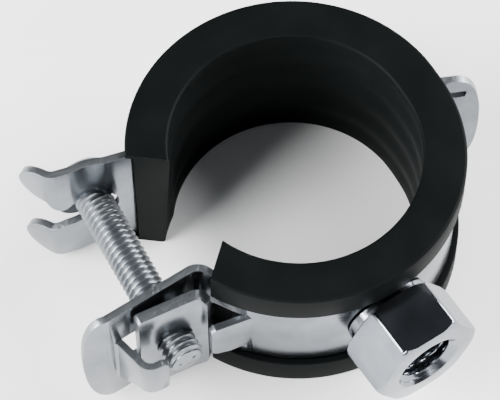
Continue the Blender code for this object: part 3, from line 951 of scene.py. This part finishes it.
# %% [markdown]
# ## Closing screw
# An M6 pan-head screw with a cross recess. Its free end is chamfered, and two punch marks spread
# the last turn of the thread so that the screw can't be wound out of the plate. The head is
# turned, its recess is cut with two thin wings, and then it is joined to the threaded shank.

# %% Closing screw
SCREW_END = -4.4
WASHER_FROM = 28.6
HEAD_FROM = WASHER_FROM + 1.3
HEAD_R = 4.9
HEAD_HEIGHT = 2.8
RECESS_R = 2.9
RECESS_THIN = 0.24
THREAD_R = 2.98
DRIVER = [(0.0, 0.001), (0.0, RECESS_R), (2.4, 1.0), (2.9, 0.001)]
PUNCH = [(0.0, 0.001), (0.0, 0.55), (0.95, 0.2), (1.1, 0.001)]


def screw_head():
    rise = [radians(7.5 * i) for i in range(13)]
    profile = [(0.0, 0.001), (0.0, HEAD_R - 0.2), (0.2, HEAD_R)]
    profile += [(HEAD_HEIGHT * (0.35 + 0.65 * sin(t)), max(HEAD_R * cos(t) ** 0.6, 0.001))
                for t in rise]
    base = SCREW_THROUGH + SCREW_AXIS * HEAD_FROM
    head = turned("screw_head", base, SCREW_AXIS, profile, [zinc_screw])
    top = base + SCREW_AXIS * (HEAD_HEIGHT + 0.5)
    pivot = Matrix.Translation(ORIGIN + top * MM)
    upright = Vector((0, 0, 1))
    basis = Matrix((SCREW_AXIS.cross(upright).normalized(), SCREW_AXIS, upright)).to_4x4()
    for thin in ((RECESS_THIN, 1, 1, 1), (1, 1, RECESS_THIN, 1)):
        wing = turned("driver_wing", top, -SCREW_AXIS, DRIVER, [zinc_edge], 4)
        wing.data.transform(pivot @ basis.inverted() @ Matrix.Diagonal(thin) @ basis
                            @ pivot.inverted())
        boolean(head, wing)
    return head


def closing_screw():
    start = SCREW_THROUGH + SCREW_AXIS * SCREW_END
    length = HEAD_FROM - SCREW_END + 0.4
    screw = threaded_rod("closing_screw", start, SCREW_AXIS, length, THREAD_R, pitch=1.0,
                         depth=0.58, chamfer=0.62, mat=zinc_screw)
    screw.data.materials.clear()
    screw.data.materials.append(zinc_screw)
    boolean(screw, screw_head(), "UNION")
    for side in (-1, 1):
        at = start + Vector((side * 1.15, 0, side * 0.25))
        punch = turned("stake_punch", at - SCREW_AXIS * 0.6, SCREW_AXIS, PUNCH, [zinc_edge], 12)
        boolean(screw, punch)
    smooth(screw, 50)
    return screw


screw = closing_screw()
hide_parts("closure_screw")
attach(screw, "closure_screw")
print("closing screw", len(screw.data.polygons), "faces")

# %% [markdown]
# ## Captive washer
# A plain washer under the head spreads its pull over both tines of the fork. It slides with the
# screw but does not have to turn with it, so it is a piece of its own.

# %% Captive washer
WASHER_R = 5.5
WASHER_HOLE_R = 3.1
washer_to = WASHER_FROM + 1.0
washer = turned("captive_washer", SCREW_THROUGH, SCREW_AXIS,
                [(WASHER_FROM, WASHER_HOLE_R), (WASHER_FROM, WASHER_R), (washer_to, WASHER_R),
                 (washer_to, WASHER_HOLE_R)], [zinc_screw])
soften_edges(washer, 0.12)
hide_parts("screw_washer")
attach(washer, "screw_washer")
print("captive washer", len(washer.data.polygons), "faces")

# %% [markdown]
# ## Connection nut
# A long hexagon, chamfered by turning at both ends, stands on a short round collar that is pressed
# into the half ring. The chamfer is what bends the edges of the flats into shallow arcs, so the
# hexagon is cut by a turned ring, as in the lathe. Its foot is cut to the curve of the ring.

# %% Body of the connection nut
NUT_FACE = -34.9
NUT_BACK = -25.9
ACROSS_FLATS = 16.0
COLLAR_R = 6.9
NUT_CORNER = 0.16


def nut_body():
    corner = ACROSS_FLATS / sqrt(3)
    ring = [(corner * cos(radians(60 * i)), corner * sin(radians(60 * i))) for i in range(6)]
    verts = [(x, y, z) for y in (NUT_FACE, NUT_BACK) for x, z in ring]
    faces = [list(range(6)), [11, 10, 9, 8, 7, 6]]
    faces += [[i, i + 6, (i + 1) % 6 + 6, (i + 1) % 6] for i in range(6)]
    nut = make_piece("hexagon_connection_nut", verts, faces, [zinc_nut])
    bevel = nut.modifiers.new("corners", "BEVEL")
    bevel.width = NUT_CORNER * MM
    bevel.segments = 3
    bake_modifiers(nut)
    lathe = [(-1.0, corner + 4), (1.3, corner + 4), (1.3, corner + 0.1), (0.5, corner - 0.25)]
    lathe += [(0.12, corner - 0.75), (0.0, corner - 1.2), (-1.0, corner - 1.6)]
    boolean(nut, turned("front_lathe", (0, NUT_FACE, 0), (0, 1, 0), lathe, [zinc_nut], 96))
    boolean(nut, turned("back_lathe", (0, NUT_BACK, 0), (0, -1, 0), lathe, [zinc_nut], 96))
    collar = [(0.0, 0.001), (0.0, COLLAR_R), (4.2, COLLAR_R), (4.2, 0.001)]
    boolean(nut, turned("collar", (0, NUT_BACK - 1.6, 0), (0, 1, 0), collar, [zinc_nut], 96),
            "UNION")
    seat_r = RING_R + SHEET / 2 + 0.3
    seat = [(-20.0, 0.001), (-20.0, seat_r), (20.0, seat_r), (20.0, 0.001)]
    boolean(nut, turned("seat", (0, 0, 0), (0, 0, 1), seat, [zinc_nut], 192))
    return nut


print("hexagon over its corners", round(ACROSS_FLATS * 2 / sqrt(3), 2), "mm")

# %% [markdown]
# ## Threads of the nut
# The hole takes rods of two sizes: M10 at the mouth and M8 behind it. First the mouth is
# countersunk, and then a tap of each size cuts its thread.

# %% Connection nut
def connection_nut():
    nut = nut_body()
    mouth = [(-1.0, 0.001), (-1.0, 5.45), (0.0, 5.45), (1.0, 4.45), (1.0, 0.001)]
    boolean(nut, turned("mouth", (0, NUT_FACE, 0), (0, 1, 0), mouth, [zinc_edge], 96))
    for name, y, length, radius, pitch, depth in (("tap_m10", -1.5, 7.5, 5.0, 1.5, 0.8),
                                                  ("tap_m8", 5.0, 7.0, 4.0, 1.25, 0.65)):
        tap = threaded_rod(name, (0, NUT_FACE + y, 0), (0, 1, 0), length, radius, pitch, depth,
                           chamfer=0.0, mat=zinc_screw)
        boolean(nut, tap)
    smooth(nut, 32)
    return nut


nut = connection_nut()
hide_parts("connection_nut")
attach(nut, "front_half")
print("connection nut", len(nut.data.polygons), "faces")

# %% [markdown]
# ## Rubber liner
# One extruded strip clips over both half rings. Its section is a thick wall with rims that fold
# over the steel, three low ribs inside that grip the pipe, and narrow lips outside. The section
# is drawn once, as the die is, with a wave for the ribs and small arcs for the rims.

# %% Section of the rubber
BORE_R = 18.8
LINER_R = 25.48
LINER_HALF = 13.4
LIP_FROM = 8.0
WALL_R = RING_R - SHEET / 2 - 0.3
GROOVE_R = RING_R + SHEET / 2 + 0.06
GROOVE_HALF = 12.45
RIB_HEIGHT = 0.36
RIB_SPACING = 6.6


def liner_section():
    """Section of the rubber (radius, height), with rounded rims and ribs in the bore."""
    def corner(r, z, radius, start, sweep, steps=5):
        turn = [radians(start + sweep * i / steps) for i in range(steps + 1)]
        return [(r + radius * cos(t), z + radius * sin(t)) for t in turn]

    bore = [(BORE_R + RIB_HEIGHT * (0.5 - 0.5 * cos(2 * pi * z / RIB_SPACING)), z)
            for z in [LINER_HALF - 2.6 - 0.55 * i for i in range(40)]
            if abs(z) <= LINER_HALF - 2.55]
    top = corner(BORE_R + 0.6, LINER_HALF - 0.6, 0.6, 180, -90)
    top += corner(LINER_R - 0.5, LINER_HALF - 0.5, 0.5, 90, -90)
    top += corner(LINER_R - 0.2, LIP_FROM + 0.2, 0.2, 0, -90, 3)
    top += [(GROOVE_R, LIP_FROM), (GROOVE_R, GROOVE_HALF), (WALL_R, GROOVE_HALF)]
    return list(reversed(bore)) + top + [(r, -z) for r, z in reversed(top)]


print("points in the section", len(liner_section()))

# %% [markdown]
# ## Laying the rubber round the ring
# The section is carried from the front end round the hinge to the rear end. Both ends are cut
# straight but at a slant. Between the two halves the centre of the curve slides from one half's
# centre to the other's, so the strip has no kink at the hinge. Near the rear end the ribs fade
# and the bore opens a little, where the strip leaves the steel.

# %% Sweeping the rubber
FRONT_END = (-161.0, -155.0)
REAR_END = (155.7, 151.4)
SPANS = 150
FLARE = 1.4
FLARE_FROM = 0.955
RIBS_FADE_FROM, RIBS_FADE_OVER = 0.90, 0.06


def slant(r, bore_angle, lip_angle):
    """Angle at which a straight cut from the bore to the lip passes radius r."""
    foot = unit(bore_angle) * BORE_R
    cut = unit(lip_angle) * LINER_R - foot
    half = foot.dot(cut) / cut.length_squared
    rest = (foot.length_squared - r * r) / cut.length_squared
    point = foot + cut * (sqrt(half * half - rest) - half)
    return degrees(atan2(point.y, point.x))


def liner_mesh():
    """Sweep the section from the front end round the hinge to the rear end."""
    section = liner_section()
    verts, faces = [], []
    for i in range(SPANS + 1):
        u = i / SPANS
        for r, z in section:
            if r < WALL_R - 1:
                if abs(z) < LINER_HALF - 2.5:
                    fade = max(0.0, u - RIBS_FADE_FROM) / RIBS_FADE_OVER
                    r -= (r - BORE_R) * min(1.0, fade)
                flare = max(0.0, u - FLARE_FROM) / (1 - FLARE_FROM)
                r += flare * FLARE * (0.5 - z / LINER_HALF / 2)
            front_end = slant(r, *FRONT_END)
            angle = front_end + (slant(r, *REAR_END) - front_end) * u
            mix = min(max((angle + 10) / 14, 0), 1)
            mix = mix * mix * (3 - 2 * mix)
            point = around(Vector((0, 0)).lerp(REAR, mix), r, angle)
            verts.append((point.x, point.y, z))
    count = len(section)
    for i in range(SPANS):
        for j in range(count):
            a, b = i * count + j, i * count + (j + 1) % count
            faces.append([a, b, b + count, a + count])
    faces += [list(range(count)), [SPANS * count + k for k in reversed(range(count))]]
    return make_piece("rubber_liner", verts, faces, [epdm])


print("the rubber is laid in", SPANS, "steps")

# %% [markdown]
# ## Notches and ends
# At the hinge and at the fork the lips are notched, so that the steel comes through. At the two
# free ends the flanges bend away from the ring, and the rubber swells out against them: small
# blocks fill that corner, cut by the strip itself so that nothing overlaps. The finished liner is
# one piece, fixed in the frame.

# %% Rubber liner
NOTCH_HALF = 12.5


def prism(name, loop, half):
    """A block with a plan outline, as far above the middle plane as below it."""
    count = len(loop)
    verts = [(p[0], p[1], z) for z in (-half, half) for p in loop]
    faces = [list(range(count))[::-1], list(range(count, 2 * count))]
    faces += [[i, (i + 1) % count, count + (i + 1) % count, count + i] for i in range(count)]
    return make_piece(name, verts, faces, [epdm])


def notch(name, centre, angles, half):
    """Sector that clears the steel where it leaves the rubber."""
    r0, r1 = RING_R - SHEET / 2 - 0.12, LINER_R + 3
    turn = [angles[0] + (angles[1] - angles[0]) * i / 12 for i in range(13)]
    loop = [around(centre, r1, a) for a in turn] + [around(centre, r0, a) for a in reversed(turn)]
    return prism(name, loop, half)


def end_fills():
    """Rubber that swells out against the steel at both free ends, where the strip bends away."""
    inner, outer = WALL_R - 1.2, 24.25
    loop = [around(REAR, inner, a) for a in (148, 150, 152, slant(inner, *REAR_END))]
    loop += [around(REAR, outer, a) for a in (slant(outer, *REAR_END), 150, 148)]
    rear = prism("rear_end_fill", loop, GROOVE_HALF)
    path = rear_path()
    s0, s1 = 0.5, path.length - 0.5
    blank = [(s0, -12.6), (s1, -12.6), (s1, 12.6), (s0, 12.6)]
    boolean(rear, fold_sheet("strip_room", path, blank, thickness=SHEET + 0.12))
    wall, inner = WALL_R + 0.2, WALL_R - 0.5
    loop = [around((0, 0), wall, a) for a in (-150, -152, -154, -156, -158.2)]
    loop += [around((0, 0), inner, a) for a in (-158.2, -156, -154, -152, -150)]
    return rear, prism("front_end_fill", loop, 6.0)


def rubber_liner():
    liner = liner_mesh()
    boolean(liner, notch("hinge_notch", (0, 0.5), (-13.0, 6.0), NOTCH_HALF))
    boolean(liner, notch("fork_notch", REAR, (142.0, 160.0), NOTCH_HALF))
    for fill in end_fills():
        boolean(liner, fill, "UNION")
    smooth(liner, 38)
    return liner


liner = rubber_liner()
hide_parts("front_insert", "rear_insert")
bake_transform(liner)
print("rubber liner", len(liner.data.polygons), "faces")

# %% [markdown]
# ## Studio
# Bright metal shows only what it mirrors, so the room matters as much as the metal. A pale card
# lies under the clamp, a broad soft lamp stands on each side, and a narrow one in front draws
# thin bright lines along the edges. The dimmer air between them gives the plate its dark bands.

# %% Studio
AIR_STRENGTH = 0.35
CARD_HALF = 1.5
CARD_DROP = 0.2 * MM


def soft_lamp(name, place, size, power):
    lamp = bpy.data.lights.new(name, "AREA")
    lamp.shape = "RECTANGLE"
    lamp.size, lamp.size_y = size
    lamp.energy = power
    obj = bpy.data.objects.new(name, lamp)
    obj.location = Vector(place)
    obj.rotation_euler = Vector(place).to_track_quat("Z", "Y").to_euler()
    bpy.context.scene.collection.objects.link(obj)


def studio_floor():
    mesh = bpy.data.meshes.new("studio_floor")
    corners = [(x * CARD_HALF, y * CARD_HALF, 0) for x, y in ((-1, -1), (1, -1), (1, 1), (-1, 1))]
    mesh.from_pydata(corners, [], [[0, 1, 2, 3]])
    floor = bpy.data.objects.new("studio_floor", mesh)
    floor.location.z = -CARD_DROP
    bpy.context.scene.collection.objects.link(floor)
    mat, _, shader, _ = blank_material("matt_white_card")
    shader.inputs["Base Color"].default_value = linear("#F6F6F6")
    shader.inputs["Roughness"].default_value = 0.9
    mesh.materials.append(mat)


studio_floor()
soft_lamp("lamp_left", (-0.62, 0.20, 0.34), (0.7, 0.5), 30.0)
soft_lamp("lamp_right", (0.68, -0.10, 0.36), (0.7, 0.5), 26.0)
soft_lamp("lamp_front", (-0.18, -0.75, 0.42), (0.6, 0.15), 9.0)
world = bpy.data.worlds.new("studio_air")
bpy.context.scene.world = world
world.use_nodes = True
air = world.node_tree.nodes["Background"]
air.inputs["Color"].default_value = linear("#9A9DA0")
air.inputs["Strength"].default_value = AIR_STRENGTH
print("lamps", [light.name for light in bpy.data.lights])
